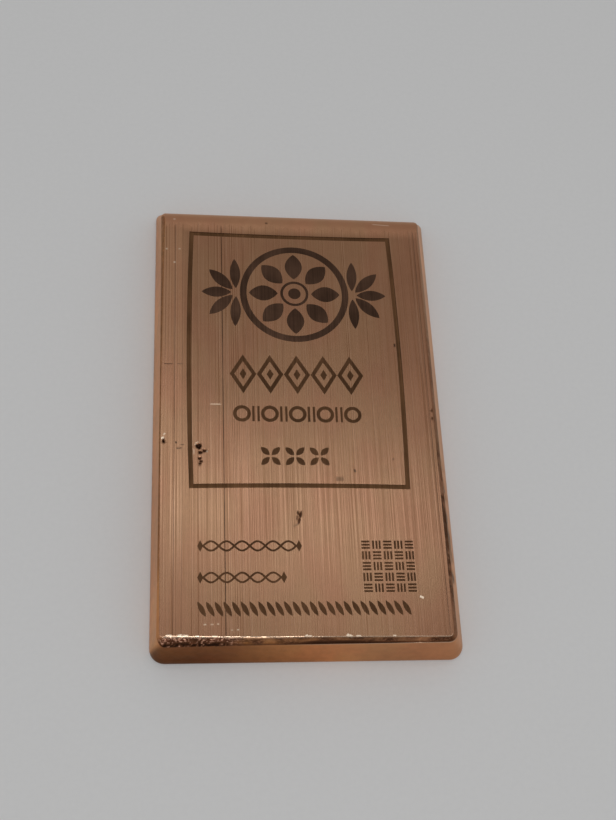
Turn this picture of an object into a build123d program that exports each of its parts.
from build123d import *
import os
from math import cos, radians, sin, tan

# A small cast copper bar, lying on its wide face with the ground face up.
# Millimetres: X runs across the bar, Y towards its rounded far end, Z up from the face it rests on.

# Overall size of the casting
base_width = 64.4
base_length = 107.1
thickness = 8.75

# Draft of the mould's four walls, in degrees from upright. The far one lies over furthest.
left_draft = 10.0
right_draft = 21.0
near_draft = 15.5
far_draft = 31.0

# Corners of the outline in plan, at the foot and at the top of the walls. The two far ones are sharper.
near_foot_corner_radius = 3.2
near_top_corner_radius = 1.8
far_foot_corner_radius = 1.5
far_top_corner_radius = 1.2

# The far end rolls over in one wide round, and the foot has a small radius all along
far_round_radius = 4.4
foot_edge_radius = 0.5

# Bevelled shoulders along three top edges. A width is taken on the ground face, at one end of its edge.
shoulder_angle = 45.0
near_shoulder_left_width = 1.2
near_shoulder_right_width = 0.6
right_shoulder_near_width = 0.8
right_shoulder_far_width = 0.2
left_shoulder_near_width = 0.2
left_shoulder_far_width = 0.5

# Shallow marked frame on the ground face: its long sides bow out, its short sides bow in, and it sits
# to the left of the middle by its shift
frame_width = 46.5
frame_length = 62.95
frame_far_margin = 4.94
frame_line_width = 0.92
frame_depth = 0.12
frame_side_bow = 0.57
frame_end_bow = 0.24
frame_shift = -0.38


def foot_pull(draft):
    """Distance by which the foot radius draws the outline in from the sharp foot of a wall."""
    return foot_edge_radius * (tan(radians(45 + draft / 2)) - 1)


def lean(draft):
    """Distance by which a wall leans inwards over the thickness."""
    return thickness * tan(radians(draft))


# Sharp foot of each wall, before its radius
foot_left = -base_width / 2 - foot_pull(left_draft)
foot_right = base_width / 2 + foot_pull(right_draft)
foot_near = -base_length / 2 - foot_pull(near_draft)
foot_far = base_length / 2 + foot_pull(far_draft)

# Nominal edges of the top face, where the drafted walls meet its plane
top_left = foot_left + lean(left_draft)
top_right = foot_right - lean(right_draft)
top_near = foot_near + lean(near_draft)
top_far = foot_far - lean(far_draft)
top_middle = (top_left + top_right) / 2

# Middle of the marked frame, reckoned from the middle of the ground face between its long shoulders
ground_left = top_left + (left_shoulder_near_width + left_shoulder_far_width) / 2
ground_right = top_right - (right_shoulder_near_width + right_shoulder_far_width) / 2
frame_centre = (ground_left + ground_right) / 2 + frame_shift

# The round touches the top face and the far wall at this distance from their nominal edge
far_round_reach = far_round_radius * tan(radians(90 - far_draft) / 2)


def shoulder_plane(start, end):
    """Plane of a bevel that leaves the top face along the line from start to end and falls outwards.

    The outside of the bar is on the right of the way from start to end.
    """
    along = Vector(end[0] - start[0], end[1] - start[1], 0).normalized()
    outwards = Vector(along.Y, -along.X, 0)
    tilt = radians(shoulder_angle)
    normal = outwards * sin(tilt) + Vector(0, 0, 1) * cos(tilt)
    return Plane(origin=(start[0], start[1], thickness), x_dir=along, z_dir=normal)


near_shoulder = shoulder_plane(
    (top_left, top_near + near_shoulder_left_width), (top_right, top_near + near_shoulder_right_width)
)
right_shoulder = shoulder_plane(
    (top_right - right_shoulder_near_width, top_near), (top_right - right_shoulder_far_width, top_far)
)
left_shoulder = shoulder_plane(
    (top_left + left_shoulder_far_width, top_far), (top_left + left_shoulder_near_width, top_near)
)

os.makedirs("parts", exist_ok=True)

with BuildPart() as ingot:
    # Drafted body between the outline of the foot and the smaller, off-centre outline of the top
    with BuildSketch(Plane.XY):
        with Locations(((foot_left + foot_right) / 2, (foot_near + foot_far) / 2)):
            Rectangle(foot_right - foot_left, foot_far - foot_near)
        fillet(vertices().group_by(Axis.Y)[0], near_foot_corner_radius)
        fillet(vertices().group_by(Axis.Y)[-1], far_foot_corner_radius)
    with BuildSketch(Plane.XY.offset(thickness)):
        with Locations((top_middle, (top_near + top_far) / 2)):
            Rectangle(top_right - top_left, top_far - top_near)
        fillet(vertices().group_by(Axis.Y)[0], near_top_corner_radius)
        fillet(vertices().group_by(Axis.Y)[-1], far_top_corner_radius)
    loft(ruled=True)

    # Round over the far top edge: everything outside its arc is cut away over the whole width
    with BuildSketch(Plane.YZ):
        with BuildLine():
            top_touch = (top_far - far_round_reach, thickness)
            wall_touch = (
                top_far + far_round_reach * sin(radians(far_draft)),
                thickness - far_round_reach * cos(radians(far_draft)),
            )
            TangentArc(top_touch, wall_touch, tangent=(1, 0))
            outside = (foot_far, wall_touch[1])
            above = (foot_far, thickness + far_round_radius)
            Polyline(wall_touch, outside, above, (top_touch[0], above[1]), top_touch)
        make_face()
    extrude(amount=foot_right - foot_left, both=True, mode=Mode.SUBTRACT)

    # Shoulders of cast skin that the grinding of the top face has left
    for shoulder in (near_shoulder, right_shoulder, left_shoulder):
        split(bisect_by=shoulder, keep=Keep.BOTTOM)

    # Small radius all round the foot
    fillet(ingot.faces().sort_by(Axis.Z)[0].edges(), foot_edge_radius)

    # Marked frame
    with BuildSketch(Plane.XY.offset(thickness)):
        with BuildLine():
            frame_far = top_far - frame_far_margin
            frame_near = frame_far - frame_length
            frame_left = frame_centre - frame_width / 2
            frame_right = frame_centre + frame_width / 2
            frame_middle = (frame_near + frame_far) / 2
            ThreePointArc(
                (frame_left, frame_near),
                (frame_left - frame_side_bow, frame_middle),
                (frame_left, frame_far),
            )
            ThreePointArc(
                (frame_left, frame_far),
                (frame_centre, frame_far - frame_end_bow),
                (frame_right, frame_far),
            )
            ThreePointArc(
                (frame_right, frame_far),
                (frame_right + frame_side_bow, frame_middle),
                (frame_right, frame_near),
            )
            ThreePointArc(
                (frame_right, frame_near),
                (frame_centre, frame_near + frame_end_bow),
                (frame_left, frame_near),
            )
        make_face()
        offset(amount=-frame_line_width, kind=Kind.INTERSECTION, mode=Mode.SUBTRACT)
    extrude(amount=-frame_depth, mode=Mode.SUBTRACT)

ingot.part.label = "ingot"
export_step(ingot.part, "parts/ingot.step")
